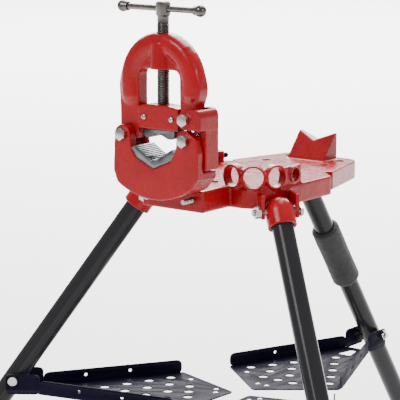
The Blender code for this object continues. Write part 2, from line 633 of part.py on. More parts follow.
def upper_jaw():
    low = BOLT_Z - 0.003
    top = CARRIAGE_LOW - GAP
    outline = [(-0.0300, top), (-0.0300, low + 0.004), (-0.0240, low), (-0.0170, low), (0.0, low + 0.0070),
               (0.0170, low), (0.0240, low), (0.0300, low + 0.004), (0.0300, top)]
    jaw = prism("upper_jaw", outline, 0.024, upright(VISE_Y - 0.012, VISE_Y + 0.012), JAW_STEEL)
    for side in (-1, 1):
        centre = side * 0.023
        join(jaw, box(f"jaw_tongue_{side}", (centre - 0.0105, VISE_Y - 0.0040, top - 0.003),
                      (centre + 0.0105, VISE_Y + 0.0040, BOLT_Z + 0.0355)))
        cut(jaw, rod(f"tongue_bore_{side}", (side * JAW_SCREW_X, VISE_Y - 0.01, JAW_SCREW_Z),
                     (side * JAW_SCREW_X, VISE_Y + 0.01, JAW_SCREW_Z), 0.0028, sides=16))


def jaw_screws():
    for name, side in (("jaw_screw_left", -1), ("jaw_screw_right", 1)):
        x, front = side * JAW_SCREW_X, VISE_Y - 0.014 - GAP
        screw = rod(name, (x, front - 0.0025, JAW_SCREW_Z), (x, front, JAW_SCREW_Z), 0.0042, ZINC, sides=20)
        join(screw, rod(name + "_shank", (x, front - 0.001, JAW_SCREW_Z),
                        (x, VISE_Y + 0.006, JAW_SCREW_Z), 0.0025, sides=16))
        cut(screw, box(name + "_slot", (x - 0.006, front - 0.004, JAW_SCREW_Z - 0.0005),
                       (x + 0.006, front - 0.0015, JAW_SCREW_Z + 0.0005)))


def vise_screw():
    low = CARRIAGE_TOP + 0.0038
    profile = [(0.0, low - 0.018), (0.0060, low - 0.018), (0.0060, low), (0.0078, low),
               (SCREW_RADIUS, low + 0.003),
               (SCREW_RADIUS, HUB_LOW - 0.014), (0.0088, HUB_LOW - 0.010), (0.0088,
                                                                            HUB_LOW), (HUB_RADIUS, HUB_LOW),
               (HUB_RADIUS, HUB_TOP - 0.002), (HUB_RADIUS - 0.002, HUB_TOP), (0.0, HUB_TOP)]
    obj = turned("vise_screw", list(reversed(profile)), Matrix.Translation((0.0, VISE_Y, 0.0)), STEEL)
    along = Vector((math.cos(HANDLE_TURN), math.sin(HANDLE_TURN), 0.0)) * 0.03
    centre = Vector((0.0, VISE_Y, HANDLE_Z))
    cut(obj, rod("hub_bore", centre - along, centre + along, BAR_RADIUS + 0.0003, sides=24))


def handle():
    along = Vector((math.cos(HANDLE_TURN), math.sin(HANDLE_TURN), 0.0))
    centre = Vector((0.0, VISE_Y, HANDLE_Z)) + along * HANDLE_OFFSET
    reach = HANDLE_HALF - 0.004
    rod("handle_bar", centre - along * reach, centre + along * reach, BAR_RADIUS, STEEL, sides=20)
    for name, side in (("handle_ball_left", -1), ("handle_ball_right", 1)):
        knob = ball(name, centre + along * side * HANDLE_HALF, BALL_RADIUS, STEEL)
        cut(knob, rod(name + "_bore", centre + along * side * (reach + GAP),
                      centre + along * side * (reach - 0.02),
                      BAR_RADIUS + 0.0003, sides=20))


def brace_bolt():
    y = VISE_Y + 0.255
    hex_bolt("brace_bolt", (-0.094, y - 0.0065, DECK_Z + 0.011), (-0.094, y + 0.026, DECK_Z + 0.011),
             0.013, 0.006,
             0.0042, BLACK)


def build():
    table_casting()
    vise_body()
    lower_jaw()
    vise_bolts()
    yoke()
    hook()
    carriage()
    upper_jaw()
    jaw_screws()
    vise_screw()
    handle()
    brace_bolt()
    for leg in LEG_ANGLES:
        leg_pieces(leg)
        tray_leaf(leg)
        leaf_hardware(leg)
    foam_grip()


build()
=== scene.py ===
"""Looks of the folding tripod pipe vise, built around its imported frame.  Metres, +Z up."""
import json
import math

import bmesh
import bpy
from mathutils import Matrix, Vector, noise


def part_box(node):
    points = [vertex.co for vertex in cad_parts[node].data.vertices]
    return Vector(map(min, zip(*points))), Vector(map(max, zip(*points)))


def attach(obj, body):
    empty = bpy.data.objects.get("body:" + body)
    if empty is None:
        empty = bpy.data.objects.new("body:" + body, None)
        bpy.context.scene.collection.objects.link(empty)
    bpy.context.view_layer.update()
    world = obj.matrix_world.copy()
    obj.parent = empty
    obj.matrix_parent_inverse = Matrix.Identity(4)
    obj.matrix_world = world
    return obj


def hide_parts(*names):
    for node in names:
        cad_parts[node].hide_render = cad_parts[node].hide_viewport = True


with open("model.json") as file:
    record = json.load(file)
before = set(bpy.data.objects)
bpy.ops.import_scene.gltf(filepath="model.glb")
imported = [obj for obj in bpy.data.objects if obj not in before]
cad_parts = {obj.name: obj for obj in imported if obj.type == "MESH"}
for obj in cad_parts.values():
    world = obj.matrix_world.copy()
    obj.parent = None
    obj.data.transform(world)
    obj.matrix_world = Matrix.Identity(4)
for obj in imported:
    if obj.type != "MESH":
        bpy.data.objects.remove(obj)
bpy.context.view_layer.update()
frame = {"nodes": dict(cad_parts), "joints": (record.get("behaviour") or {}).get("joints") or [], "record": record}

NODES = frame["nodes"]
JOINTS = {joint["name"]: joint for joint in frame["joints"]}
LEGS = ("left", "right", "rear")
UP = Vector((0, 0, 1))
SLOTS = {part["node"]: part["material_slot"] for part in frame["record"]["subparts"]}
BODIES = frame["record"]["behaviour"]["bodies"]
BODY_OF = {node: body for body, members in BODIES.items() for node in members}

MOUNTS = {mount["name"]: mount for mount in frame["record"]["mounts"]}
DECK_Z = MOUNTS["table_top"]["pos_m"][2]
BOLT_Z = JOINTS["yoke_swing"]["pos_m"][2]
VISE_Y = Vector(JOINTS["screw_turn"]["pos_m"]).y
HANDLE_AXIS = Vector(JOINTS["handle_slide"]["axis"])

WINDOW_HALF = 0.039          # half-width of the yoke's window
ARCH_RADIUS = 0.0580         # middle line of the yoke's arch
JAW_SLOPE = 0.603            # rise over run of the lower jaw's V
UPPER_JAW_SLOPE = 0.41
TOOTH_ROWS = 9               # on each side of the V
TOOTH_PITCH = 0.0033
TOOTH_WIDTH = 0.0016
VISE_HEX = 0.0165            # across flats
SMALL_HEX = 0.013
LEG_HEX = 0.016
LEG_NUT_HEX = 0.017
VISE_THREAD = (0.0054, 0.0015, 0.0006)     # radius, pitch, depth
SMALL_THREAD = (0.0041, 0.00125, 0.0005)
LEG_THREAD = (0.0049, 0.0015, 0.0005)
JAW_SCREW_THREAD = (0.0024, 0.0008, 0.0003)
VISE_SCREW_THREAD = (0.0095, 0.0025, 0.0011)
HANDLE_RADIUS = 0.0047
BALL_REACH = 0.076           # from the handle's middle to each ball
BALL_RADIUS = 0.009
TUBE_INNER = 0.0135
TUBE_OUTER = 0.0167
SHEET = 0.0022               # tray sheet
LEAF_FLOOR = -0.0215         # tray floor below the leaf's pin
LEAF_TIP = 0.356             # from the pin to the leaf's inner point
LEAF_POINT = math.radians(52.0)
LEAF_START = 0.040
LEAF_HALF = 0.1128
LEAF_NECK = 0.0235
HOLE_RADIUS = 0.0078
HOLE_STEP = 0.040
PIN_RADIUS = 0.004
PIN_HEAD_RADIUS = 0.0075
FOOT_RIBS = 5
FOOT_RIB_STEP = 0.0075

FLOOR_DROP = 0.0005          # keeps the stage floor clear of the feet
WORLD_STRENGTH = 0.55
CAMERA_AZIMUTH, CAMERA_PITCH = math.radians(37.83), math.radians(10.68)
CAMERA_LENS = 164.07         # mm, on a sensor 36 mm wide
CAMERA_PLACE = Vector((1.6907, VISE_Y - 2.0888, DECK_Z + 0.4943))


# ---------------------------------------------------------------- materials
def new_material(name):
    material = bpy.data.materials.new(name)
    material.use_nodes = True
    return material, material.node_tree, material.node_tree.nodes["Principled BSDF"]


def object_noise(tree, scale, detail=4.0, roughness=0.55):
    coordinates = tree.nodes.new("ShaderNodeTexCoord")
    texture = tree.nodes.new("ShaderNodeTexNoise")
    texture.inputs["Scale"].default_value = scale
    texture.inputs["Detail"].default_value = detail
    texture.inputs["Roughness"].default_value = roughness
    tree.links.new(coordinates.outputs["Object"], texture.inputs["Vector"])
    return texture.outputs["Fac"]


def ramp(tree, source, stops):
    node = tree.nodes.new("ShaderNodeValToRGB")
    for element, (position, colour) in zip(node.color_ramp.elements, (stops[0], stops[-1])):
        element.position = position
        element.color = (*colour, 1)
    for position, colour in stops[1:-1]:
        node.color_ramp.elements.new(position).color = (*colour, 1)
    tree.links.new(source, node.inputs["Fac"])
    return node.outputs["Color"]


def spread(tree, source, low, high):
    """Stretch the middle of a noise value, 0.3 to 0.7, over the range low to high."""
    node = tree.nodes.new("ShaderNodeMapRange")
    node.inputs["From Min"].default_value = 0.3
    node.inputs["From Max"].default_value = 0.7
    node.inputs["To Min"].default_value = low
    node.inputs["To Max"].default_value = high
    tree.links.new(source, node.inputs["Value"])
    return node.outputs["Result"]


def bump(tree, shader, layers):
    """Stack bumps from (height source, distance in metres, strength)."""
    last = None
    for source, distance, strength in layers:
        node = tree.nodes.new("ShaderNodeBump")
        node.inputs["Distance"].default_value = distance
        node.inputs["Strength"].default_value = strength
        tree.links.new(source, node.inputs["Height"])
        if last is not None:
            tree.links.new(last, node.inputs["Normal"])
        last = node.outputs["Normal"]
    tree.links.new(last, shader.inputs["Normal"])


def edge_highlight_mask(tree, low, high):
    """Rises from 0 to 1 towards convex edges, where the materials paint a paler highlight colour."""
    geometry = tree.nodes.new("ShaderNodeNewGeometry")
    node = tree.nodes.new("ShaderNodeMapRange")
    node.inputs["From Min"].default_value = low
    node.inputs["From Max"].default_value = high
    tree.links.new(geometry.outputs["Pointiness"], node.inputs["Value"])
    return node.outputs["Result"]


def mix(tree, factor, first, second):
    node = tree.nodes.new("ShaderNodeMix")
    node.data_type = "RGBA"
    for socket, value in ((node.inputs[0], factor), (node.inputs[6], first), (node.inputs[7], second)):
        if isinstance(value, tuple):
            socket.default_value = (*value, 1)
        elif isinstance(value, float):
            socket.default_value = value
        else:
            tree.links.new(value, socket)
    return node.outputs[2]


def red_paint():
    """Glossy enamel over a sand casting: a soft ripple, fine grain and a painted highlight, paler red along convex
    edges.
    """
    material, tree, shader = new_material("red_enamel")
    broad = object_noise(tree, 14.0, 3.0)
    grain = object_noise(tree, 900.0, 2.0)
    reds = ((0.25, (0.22, 0.0025, 0.005)), (0.55, (0.29, 0.0035, 0.007)), (0.8, (0.35, 0.005, 0.010)))
    colour = ramp(tree, broad, reds)
    # painted highlight: a paler red mixed in along convex edges
    edges = edge_highlight_mask(tree, 0.53, 0.62)
    tree.links.new(mix(tree, edges, colour, (0.42, 0.012, 0.018)), shader.inputs["Base Color"])
    tree.links.new(spread(tree, object_noise(tree, 60.0), 0.20, 0.34), shader.inputs["Roughness"])
    shader.inputs["Specular IOR Level"].default_value = 0.18
    shader.inputs["Coat Weight"].default_value = 0.22
    shader.inputs["Coat IOR"].default_value = 1.35
    shader.inputs["Coat Roughness"].default_value = 0.10
    bump(tree, shader, ((object_noise(tree, 95.0, 3.0), 0.0010, 0.35), (grain, 0.00025, 0.22)))
    return material


def black_gloss():
    """Baked black enamel on drawn tube, with a slight ripple and uneven gloss."""
    material, tree, shader = new_material("black_enamel")
    blacks = ((0.3, (0.0016, 0.0016, 0.0022)), (0.75, (0.005, 0.005, 0.007)))
    colour = ramp(tree, object_noise(tree, 22.0), blacks)
    # painted highlight: a grey sheen mixed in along convex edges of the black tube
    edges = edge_highlight_mask(tree, 0.54, 0.66)
    tree.links.new(mix(tree, edges, colour, (0.08, 0.08, 0.085)), shader.inputs["Base Color"])
    tree.links.new(spread(tree, object_noise(tree, 45.0, 6.0), 0.10, 0.24), shader.inputs["Roughness"])
    shader.inputs["Specular IOR Level"].default_value = 0.06
    shader.inputs["Coat Weight"].default_value = 0.16
    shader.inputs["Coat IOR"].default_value = 1.4
    shader.inputs["Coat Roughness"].default_value = 0.08
    bump(tree, shader, ((object_noise(tree, 70.0, 3.0), 0.0006, 0.18),
                        (object_noise(tree, 1200.0, 2.0), 0.0001, 0.15)))
    return material


def black_sheet():
    """Painted sheet steel, less glossy than the tubes, with a cold tint."""
    material, tree, shader = new_material("black_sheet_paint")
    blacks = ((0.3, (0.0025, 0.0020, 0.0070)), (0.75, (0.008, 0.006, 0.020)))
    colour = ramp(tree, object_noise(tree, 9.0), blacks)
    # painted highlight: a pale, cold glint mixed in along convex edges of the sheet
    edges = edge_highlight_mask(tree, 0.54, 0.64)
    tree.links.new(mix(tree, edges, colour, (0.11, 0.11, 0.13)), shader.inputs["Base Color"])
    tree.links.new(spread(tree, object_noise(tree, 30.0, 6.0), 0.38, 0.55), shader.inputs["Roughness"])
    shader.inputs["Specular IOR Level"].default_value = 0.02
    shader.inputs["Coat Weight"].default_value = 0.04
    shader.inputs["Coat IOR"].default_value = 1.3
    shader.inputs["Coat Roughness"].default_value = 0.25
    bump(tree, shader, ((object_noise(tree, 240.0, 4.0), 0.0003, 0.25),))
    return material


def metal(name, dark, light, rough_low, rough_high, scratch=0.2):
    material, tree, shader = new_material(name)
    broad = object_noise(tree, 70.0, 5.0)
    colour = ramp(tree, broad, ((0.28, dark), (0.72, light)))
    # painted highlight: convex edges get a colour lighter than the metal's own
    edges = edge_highlight_mask(tree, 0.53, 0.66)
    edge_highlight_colour = tuple(min(1.0, channel * 1.35) for channel in light)
    tree.links.new(mix(tree, edges, colour, edge_highlight_colour), shader.inputs["Base Color"])
    shader.inputs["Metallic"].default_value = 1.0
    roughness = spread(tree, object_noise(tree, 160.0, 5.0), rough_low, rough_high)
    tree.links.new(roughness, shader.inputs["Roughness"])
    bump(tree, shader, ((object_noise(tree, 700.0, 4.0), 0.0002, scratch),))
    return material


def foam_material():
    """Dull black foam with a pebbled skin."""
    material, tree, shader = new_material("foam_skin")
    coordinates = tree.nodes.new("ShaderNodeTexCoord")
    cells = tree.nodes.new("ShaderNodeTexVoronoi")
    cells.inputs["Scale"].default_value = 620.0
    tree.links.new(coordinates.outputs["Object"], cells.inputs["Vector"])
    blacks = ((0.3, (0.010, 0.010, 0.010)), (0.8, (0.024, 0.023, 0.023)))
    colour = ramp(tree, object_noise(tree, 40.0), blacks)
    tree.links.new(colour, shader.inputs["Base Color"])
    tree.links.new(spread(tree, object_noise(tree, 90.0), 0.80, 0.97), shader.inputs["Roughness"])
    shader.inputs["Sheen Weight"].default_value = 0.15
    bump(tree, shader, ((object_noise(tree, 160.0, 4.0), 0.0010, 0.5),
                        (cells.outputs["Distance"], 0.0006, 0.6)))
    return material


def rubber_material():
    material, tree, shader = new_material("moulded_rubber")
    blacks = ((0.3, (0.010, 0.010, 0.010)), (0.8, (0.035, 0.034, 0.033)))
    colour = ramp(tree, object_noise(tree, 30.0), blacks)
    tree.links.new(colour, shader.inputs["Base Color"])
    tree.links.new(spread(tree, object_noise(tree, 80.0), 0.55, 0.8), shader.inputs["Roughness"])
    bump(tree, shader, ((object_noise(tree, 500.0, 4.0), 0.0004, 0.35),))
    return material


MATERIALS = {
    "red_paint": red_paint(),
    "black_gloss": black_gloss(),
    "black_sheet": black_sheet(),
    "zinc": metal("zinc_plate", (0.24, 0.24, 0.24), (0.50, 0.50, 0.49), 0.16, 0.34),
    "bare_steel": metal("bare_steel_oiled", (0.06, 0.055, 0.052), (0.17, 0.155, 0.145), 0.20, 0.36, 0.3),
    "jaw_steel": metal("hardened_steel", (0.05, 0.05, 0.055), (0.14, 0.14, 0.15), 0.30, 0.50, 0.5),
    "foam": foam_material(),
    "rubber_foot": rubber_material(),
}


# ---------------------------------------------------------------- mesh tools
def object_from(bm, name, angle=40.0):
    bmesh.ops.recalc_face_normals(bm, faces=bm.faces)
    mesh = bpy.data.meshes.new(name)
    bm.to_mesh(mesh)
    bm.free()
    mesh.shade_smooth()
    mesh.set_sharp_from_angle(angle=math.radians(angle))
    obj = bpy.data.objects.new(name, mesh)
    bpy.context.scene.collection.objects.link(obj)
    return obj


def baked(obj, angle=40.0):
    """The object with its modifiers applied."""
    bpy.context.view_layer.update()
    mesh = bpy.data.meshes.new_from_object(obj.evaluated_get(bpy.context.evaluated_depsgraph_get()))
    obj.modifiers.clear()
    obj.data = mesh
    mesh.shade_smooth()
    mesh.set_sharp_from_angle(angle=math.radians(angle))
    return obj


def axes_at(origin, along):
    """Matrix whose Z runs along `along` from `origin`."""
    return Matrix.Translation(origin) @ Vector(along).to_track_quat("Z", "Y").to_matrix().to_4x4()


def polar(radius, turn, height):
    return Vector((radius * math.cos(turn), radius * math.sin(turn), height))


def rod_profile(length, radius):
    """Closed cylinder for lathe()."""
    return [(0, 0), (0, radius), (length, radius), (length, 0)]


def lathe(name, profile, origin, along, segments=64, closed=False):
    """Turned solid: the profile is (distance along, radius); radius 0 makes a pole."""
    place = axes_at(origin, along)
    bm = bmesh.new()
    rings = []
    for distance, radius in profile:
        if radius < 1e-6:
            rings.append([bm.verts.new(place @ Vector((0, 0, distance)))])
            continue
        ring = []
        for i in range(segments):
            turn = 2 * math.pi * i / segments
            ring.append(bm.verts.new(place @ polar(radius, turn, distance)))
        rings.append(ring)
    pairs = list(zip(rings, rings[1:]))
    if closed:
        pairs.append((rings[-1], rings[0]))
    for first, second in pairs:
        for i in range(segments):
            j = (i + 1) % segments
            corners = [first[i % len(first)], first[j % len(first)],
                       second[j % len(second)], second[i % len(second)]]
            unique = list(dict.fromkeys(corners))
            if len(unique) > 2:
                bm.faces.new(unique)
    return object_from(bm, name)


def softened(profile, radius):
    """Cut each inner corner of an open profile with a small chamfer of two points."""
    out = [profile[0]]
    for before, corner, after in zip(profile, profile[1:], profile[2:]):
        here = Vector(corner)
        for other in (before, after):
            side = Vector(other) - here
            out.append(tuple(here + side * min(0.45, radius / max(side.length, 1e-9))))
    out.append(profile[-1])
    return out


def span(node, origin, along):
    """How far a CAD node reaches along a direction from a point: (least, most)."""
    along = Vector(along).normalized()
    reach = [(v.co - origin).dot(along) for v in NODES[node].data.vertices]
    return min(reach), max(reach)


def copy_of(node, name):
    """A welded copy of a CAD node's mesh."""
    bm = bmesh.new()
    bm.from_mesh(NODES[node].data)
    bmesh.ops.remove_doubles(bm, verts=bm.verts, dist=0.000002)
    return object_from(bm, name)


def face_centre(node, front=True):
    """Middle of a CAD node's front or back in its box, and its depth."""
    low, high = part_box(node)
    centre = Vector(((low.x + high.x) / 2, low.y if front else high.y, (low.z + high.z) / 2))
    return centre, high.y - low.y


def boolean(obj, other, operation):
    modifier = obj.modifiers.new("boolean", "BOOLEAN")
    modifier.operation = operation
    modifier.solver = "EXACT"
    modifier.object = other
    baked(obj)
    bpy.data.objects.remove(other, do_unlink=True)
    return obj


def merged(name, pieces):
    """Several closed pieces in one object."""
    bm = bmesh.new()
    for piece in pieces:
        bm.from_mesh(piece.data)
        bpy.data.objects.remove(piece, do_unlink=True)
    return object_from(bm, name)


def cast(obj, voxel, rounds, detail=0.00012):
    """Turn a sharp solid into a casting: rounded edges, filleted corners, a slightly uneven skin."""
    remesh = obj.modifiers.new("skin", "REMESH")
    remesh.mode = "VOXEL"
    remesh.voxel_size = voxel
    smooth = obj.modifiers.new("soften", "SMOOTH")
    smooth.factor = 0.5
    smooth.iterations = rounds
    baked(obj, 60.0)
    normals = [normal.vector.copy() for normal in obj.data.vertex_normals]
    for vertex, normal in zip(obj.data.vertices, normals):
        height = noise.noise(vertex.co * 38.0) + 0.5 * noise.noise(vertex.co * 95.0)
        vertex.co += normal * height * detail
    return obj


def put(obj, *nodes, body=None, slot=None):
    """Give a piece its finish, its body and the CAD nodes it stands for."""
    home = body or BODY_OF[nodes[0]]
    kind = slot or SLOTS[nodes[0]]
    obj.data.materials.clear()
    obj.data.materials.append(MATERIALS[kind])
    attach(obj, home)
    if nodes:
        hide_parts(*nodes)
    return obj


def hex_ring(radius_flat, turn):
    """Radius of a hexagon at an angle, from its flat radius."""
    local = (turn + math.pi / 6) % (math.pi / 3) - math.pi / 6
    return radius_flat / math.cos(local)


def hexagon(name, origin, along, across, height, bore=0.0, segments=48):
    """Chamfered hexagonal head or nut that starts at origin and runs along `along`."""
    place = axes_at(origin, along)
    flat = across / 2
    bm = bmesh.new()
    rings = []

    def ring(radius_at, height_at):
        verts = []
        for i in range(segments):
            turn = 2 * math.pi * i / segments
            radius = radius_at(turn)
            verts.append(bm.verts.new(place @ polar(radius, turn, height_at(turn))))
        rings.append(verts)

    def dip(turn):
        return (hex_ring(flat, turn) - flat) * 0.58 + 0.0002

    inner = bore if bore else 0.0003
    ring(lambda t: inner, lambda t: 0.0)
    ring(lambda t: flat * 0.95, lambda t: 0.0)
    ring(lambda t: hex_ring(flat, t), dip)
    ring(lambda t: hex_ring(flat, t), lambda t: height - dip(t))
    ring(lambda t: flat * 0.95, lambda t: height)
    ring(lambda t: inner, lambda t: height)
    for first, second in zip(rings, rings[1:] + rings[:1]):
        for i in range(segments):
            j = (i + 1) % segments
            bm.faces.new((first[i], first[j], second[j], second[i]))
    return object_from(bm, name, 22.0)


def threaded(name, origin, along, length, radius, pitch, depth, per_turn=32, starts=1):
    """Threaded rod with closed, chamfered ends."""
    place = axes_at(origin, along)
    steps = int(length / pitch * 10)
    bm = bmesh.new()
    rings = []
    for k in range(steps + 1):
        distance = length * k / steps
        verts = []
        for i in range(per_turn):
            turn = 2 * math.pi * i / per_turn
            phase = (distance / pitch - starts * turn / (2 * math.pi)) % 1.0
            ridge = min(1.0, max(0.0, 1.6 * abs(2 * phase - 1) - 0.25))
            taper = min(1.0, distance / (1.5 * depth), (length - distance) / (1.5 * depth))
            r = radius - depth * (1 - ridge * taper)
            verts.append(bm.verts.new(place @ polar(r, turn, distance)))
        rings.append(verts)
    for first, second in zip(rings, rings[1:]):
        for i in range(per_turn):
            j = (i + 1) % per_turn
            bm.faces.new((first[i], first[j], second[j], second[i]))
    bm.faces.new(rings[0])
    bm.faces.new(rings[-1])
    return object_from(bm, name, 50.0)


def flat_plate(name, outlines, thickness, place, edge=0.0004):
    """Plate from an outline and its holes, with rounded edges."""
    curve = bpy.data.curves.new(name, "CURVE")
    curve.dimensions = "2D"
    curve.fill_mode = "BOTH"
    curve.extrude = thickness / 2 - edge
    curve.bevel_depth = edge
    curve.bevel_resolution = 1
    curve.offset = -edge
    for outline in outlines:
        spline = curve.splines.new("POLY")
        spline.points.add(len(outline) - 1)
        for point, (u, v) in zip(spline.points, outline):
            point.co = (u, v, 0, 1)
        spline.use_cyclic_u = True
    guide = bpy.data.objects.new(name + "_guide", curve)
    bpy.context.scene.collection.objects.link(guide)
    bpy.context.view_layer.update()
    mesh = bpy.data.meshes.new_from_object(guide.evaluated_get(bpy.context.evaluated_depsgraph_get()))
    bpy.data.objects.remove(guide, do_unlink=True)
    bm = bmesh.new()
    bm.from_mesh(mesh)
    bmesh.ops.remove_doubles(bm, verts=bm.verts, dist=0.00001)
    bmesh.ops.transform(bm, matrix=place, verts=bm.verts)
    return object_from(bm, name, 35.0)


def circle(cx, cy, radius, steps=20):
    return [(cx + radius * math.cos(2 * math.pi * i / steps), cy + radius * math.sin(2 * math.pi * i / steps))
            for i in range(steps)]


def rounded(outline, radius, steps=5):
    """The outline with each corner replaced by an arc-like curve of about that radius."""
    points = []
    count = len(outline)
    for i, corner in enumerate(outline):
        here = Vector(corner)
        before, after = Vector(outline[i - 1]) - here, Vector(outline[(i + 1) % count]) - here
        start = here + before.normalized() * min(radius, before.length * 0.45)
        end = here + after.normalized() * min(radius, after.length * 0.45)
        for k in range(steps + 1):
            t = k / steps
            points.append(tuple(start * (1 - t) ** 2 + here * 2 * t * (1 - t) + end * t ** 2))
    return points


# ---------------------------------------------------------------- castings
def swept_arch(name, path, half_width, half_depth, rings=20):
    """Fat rounded bar along a path in the vise's plane (x, z)."""
    bm = bmesh.new()
    loops = []
    for k, (x, z) in enumerate(path):
        before, after = Vector(path[max(k - 1, 0)]), Vector(path[min(k + 1, len(path) - 1)])
        tangent = (after - before).normalized()
        shrink = 0.62 if k in (0, len(path) - 1) else 1.0
        side = Vector((tangent.y, -tangent.x))
        verts = []
        for i in range(rings):
            turn = 2 * math.pi * i / rings
            c, s = math.cos(turn), math.sin(turn)
            u = half_width * (0.5 + 0.5 * shrink) * math.copysign(abs(c) ** 0.75, c)
            v = half_depth * shrink * math.copysign(abs(s) ** 0.75, s)
            verts.append(bm.verts.new((x + side.x * u, VISE_Y + v, z + side.y * u)))
        loops.append(verts)
    for first, second in zip(loops, loops[1:]):
        for i in range(rings):
            j = (i + 1) % rings
            bm.faces.new((first[i], first[j], second[j], second[i]))
    bm.faces.new(loops[0])
    bm.faces.new(loops[-1])
    return object_from(bm, name)


def arch_path():
    middle = BOLT_Z + 0.068
    path = [(-ARCH_RADIUS + 0.002, BOLT_Z + 0.040), (-ARCH_RADIUS + 0.001, BOLT_Z + 0.056)]
    for degrees in range(0, 181, 10):
        turn = math.radians(degrees)
        path.append((-ARCH_RADIUS * math.cos(turn), middle + 0.010 + (ARCH_RADIUS + 0.002) * math.sin(turn)))
    return path + [(ARCH_RADIUS - 0.001, BOLT_Z + 0.064), (ARCH_RADIUS - 0.002, BOLT_Z + 0.052)]


def yoke_piece():
    """The yoke's CAD body with a fat rounded arch around it."""
    obj = copy_of("yoke", "yoke_casting")
    boolean(obj, swept_arch("arch", arch_path(), 0.0172, 0.0165), "UNION")
    boss = lathe("boss", [(0, 0), (0, 0.021), (0.040, 0.019), (0.043, 0.015), (0.043, 0)],
                 Vector((0, VISE_Y, BOLT_Z + 0.099)), UP, 40)
    boolean(obj, boss, "UNION")
    corners = [(-WINDOW_HALF, BOLT_Z + 0.02), (WINDOW_HALF, BOLT_Z + 0.02),
               (WINDOW_HALF, BOLT_Z + 0.1), (-WINDOW_HALF, BOLT_Z + 0.1)]
    upright = Matrix.Translation((0, VISE_Y, 0)) @ Matrix.Rotation(math.pi / 2, 4, "X")
    window = flat_plate("window", [rounded(corners, 0.013)], 0.08, upright)
    boolean(obj, window, "DIFFERENCE")
    bore = lathe("bore", rod_profile(0.09, 0.0099), Vector((0, VISE_Y, BOLT_Z + 0.09)), UP, 40)
    boolean(obj, bore, "DIFFERENCE")
    return put(cast(obj, 0.0012, 6), "yoke")


def castings():
    yoke_piece()
    for node, voxel, rounds in (("table_casting", 0.0014, 10), ("vise_body", 0.0012, 5),
                                ("hook", 0.0011, 6), ("carriage", 0.0010, 5)):
        put(cast(copy_of(node, node + "_skin"), voxel, rounds), node)
    for leg in LEGS:
        node = f"leg_socket_{leg}"
        put(cast(copy_of(node, node + "_skin"), 0.0010, 6), node)


# ---------------------------------------------------------------- vise hardware
def toothed_jaw(node):
    """The jaw's solid with rows of teeth cut across its V faces."""
    obj = copy_of(node, node + "_steel")
    lower = node == "lower_jaw"
    slope = math.atan(JAW_SLOPE) if lower else math.atan(UPPER_JAW_SLOPE)
    rows = []
    for side in (-1, 1):
        for k in range(TOOTH_ROWS):
            reach = 0.005 + TOOTH_PITCH * k
            if not lower and reach > 0.017:
                continue
            z = BOLT_Z + 0.0040 - reach * UPPER_JAW_SLOPE
            if lower:
                z = BOLT_Z - 0.0345 + (reach - 0.003) * JAW_SLOPE
            groove = bmesh.new()
            turn = Matrix.Rotation(math.pi / 4 - side * slope, 4, "Y")
            place = Matrix.Translation((side * reach, VISE_Y, z)) @ turn
            size = Matrix.Diagonal((TOOTH_WIDTH, 0.06, TOOTH_WIDTH, 1))
            bmesh.ops.create_cube(groove, size=1.0, matrix=place @ size)
            rows.append(object_from(groove, "groove"))
    boolean(obj, merged("grooves", rows), "DIFFERENCE")
    bevel = obj.modifiers.new("edges", "BEVEL")
    bevel.width = 0.0003
    bevel.segments = 1
    bevel.limit_method = "ANGLE"
    baked(obj, 30.0)
    return put(obj, node)


def bolt_piece(name, node, start, along, across, height, length, thread):
    """Hexagonal head and a threaded shank of the given length behind it."""
    along = Vector(along)
    head = hexagon("head", start, along, across, height)
    shank = threaded("shank", start + along * (height + 0.0001), along, length, *thread)
    return put(merged(name, [head, shank]), node)


def bolts():
    back, front = Vector((0, 1, 0)), Vector((0, -1, 0))
    for kind in ("yoke_hinge", "catch", "hook"):
        node = kind + "_bolt"
        centre, depth = face_centre(node)
        bolt_piece(node + "_zinc", node, centre, back, VISE_HEX, 0.0066, depth - 0.0069, VISE_THREAD)
        node = kind + "_nut"
        centre, depth = face_centre(node)
        put(hexagon(node + "_zinc", centre, back, VISE_HEX, depth, 0.0058), node)
    for side in ("left", "right"):
        node = f"mount_screw_{side}"
        centre, depth = face_centre(node, front=False)
        bolt_piece(node + "_zinc", node, centre, front, SMALL_HEX, 0.0053, depth - 0.0056, SMALL_THREAD)
    node = "brace_bolt"
    centre, depth = face_centre(node)
    bolt_piece(node + "_black", node, centre, back, SMALL_HEX, 0.0057, depth - 0.006, SMALL_THREAD)
    for leg in LEGS:
        along = -Vector(JOINTS[f"leg_fold_{leg}"]["axis"])
        pivot = Vector(JOINTS[f"leg_fold_{leg}"]["pos_m"])
        node = f"leg_bolt_{leg}"
        least, most = span(node, pivot, along)
        bolt_piece(node + "_zinc", node, pivot + along * least, along, LEG_HEX, 0.0058,
                   most - least - 0.006, LEG_THREAD)
        node = f"leg_nut_{leg}"
        least, most = span(node, pivot, along)
        put(hexagon(node + "_zinc", pivot + along * least, along, LEG_NUT_HEX, most - least, 0.0052), node)


def slotted_screws():
    for side in ("left", "right"):
        node = f"jaw_screw_{side}"
        centre, depth = face_centre(node)
        profile = [(-0.0004, 0), (-0.0003, 0.0022), (0.0003, 0.0036),
                   (0.0010, 0.0042), (0.0024, 0.0042), (0.0024, 0)]
        head = lathe("head", profile, centre, (0, 1, 0), 40)
        groove = bmesh.new()
        tilt = Matrix.Rotation(math.radians(24.0 if side == "left" else -38.0), 4, "Y")
        place = Matrix.Translation(centre) @ tilt @ Matrix.Diagonal((0.012, 0.0021, 0.0011, 1))
        bmesh.ops.create_cube(groove, size=1.0, matrix=place)
        boolean(head, object_from(groove, "groove"), "DIFFERENCE")
        shank = threaded("shank", centre + Vector((0, 0.0025, 0)), (0, 1, 0), depth - 0.0027,
                         *JAW_SCREW_THREAD, per_turn=20)
        put(merged(node + "_zinc", [head, shank]), node)


